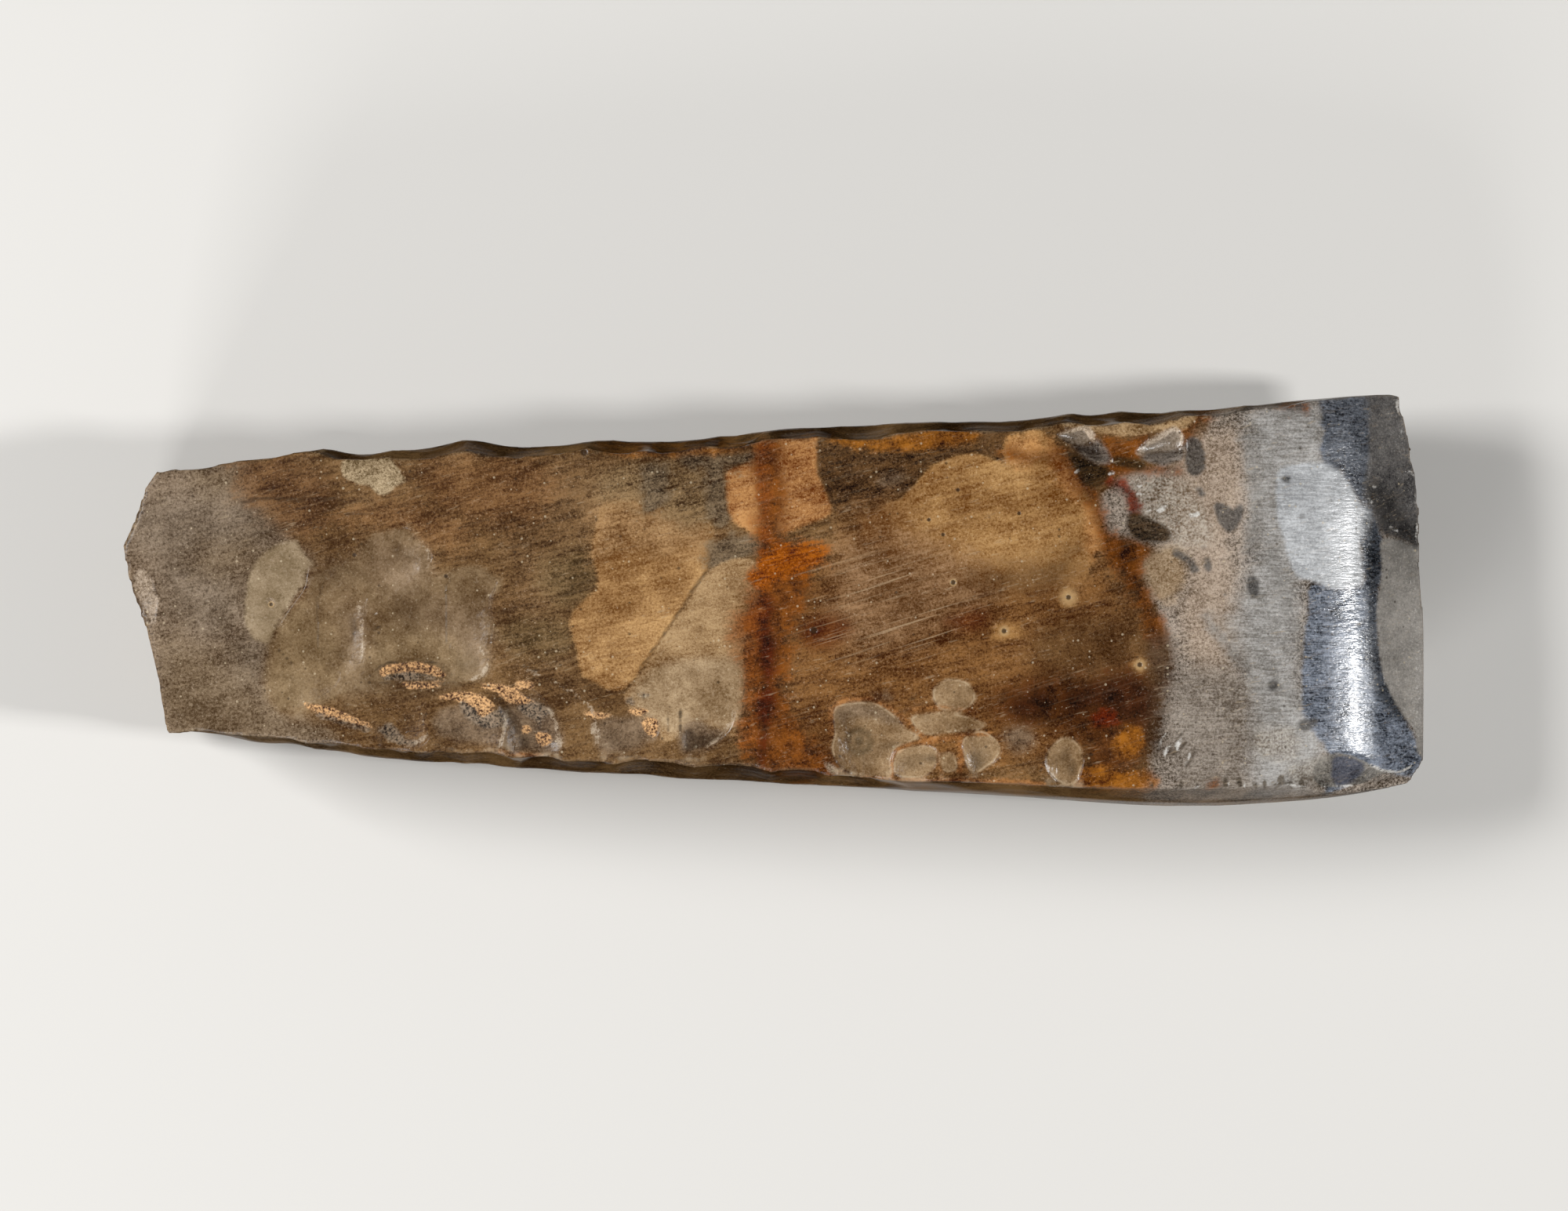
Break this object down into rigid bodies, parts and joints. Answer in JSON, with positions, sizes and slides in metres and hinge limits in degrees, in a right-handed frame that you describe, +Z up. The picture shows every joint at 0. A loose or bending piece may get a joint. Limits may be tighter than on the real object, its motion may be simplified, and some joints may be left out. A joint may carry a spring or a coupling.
{
  "type": "flint axe head",
  "caption": "Thick-butted flint axe head, rectangular in section, with ground broad faces, flaked narrow sides, a blunt butt and a polished cutting edge.",
  "frame": {"origin": "middle of the axe's bounding box, on the surface that its lower broad face rests on", "axes": "+X along the axe towards the cutting edge, +Y across the blade, +Z up through its thickness"},
  "size_m": [0.1798, 0.057, 0.03],
  "materials": {
    "flint": "polished by grinding on the broad faces, semi-matt where flaked"
  },
  "bodies": {
    "root": {"axe_blade": "flint"}
  },
  "joints": []
}
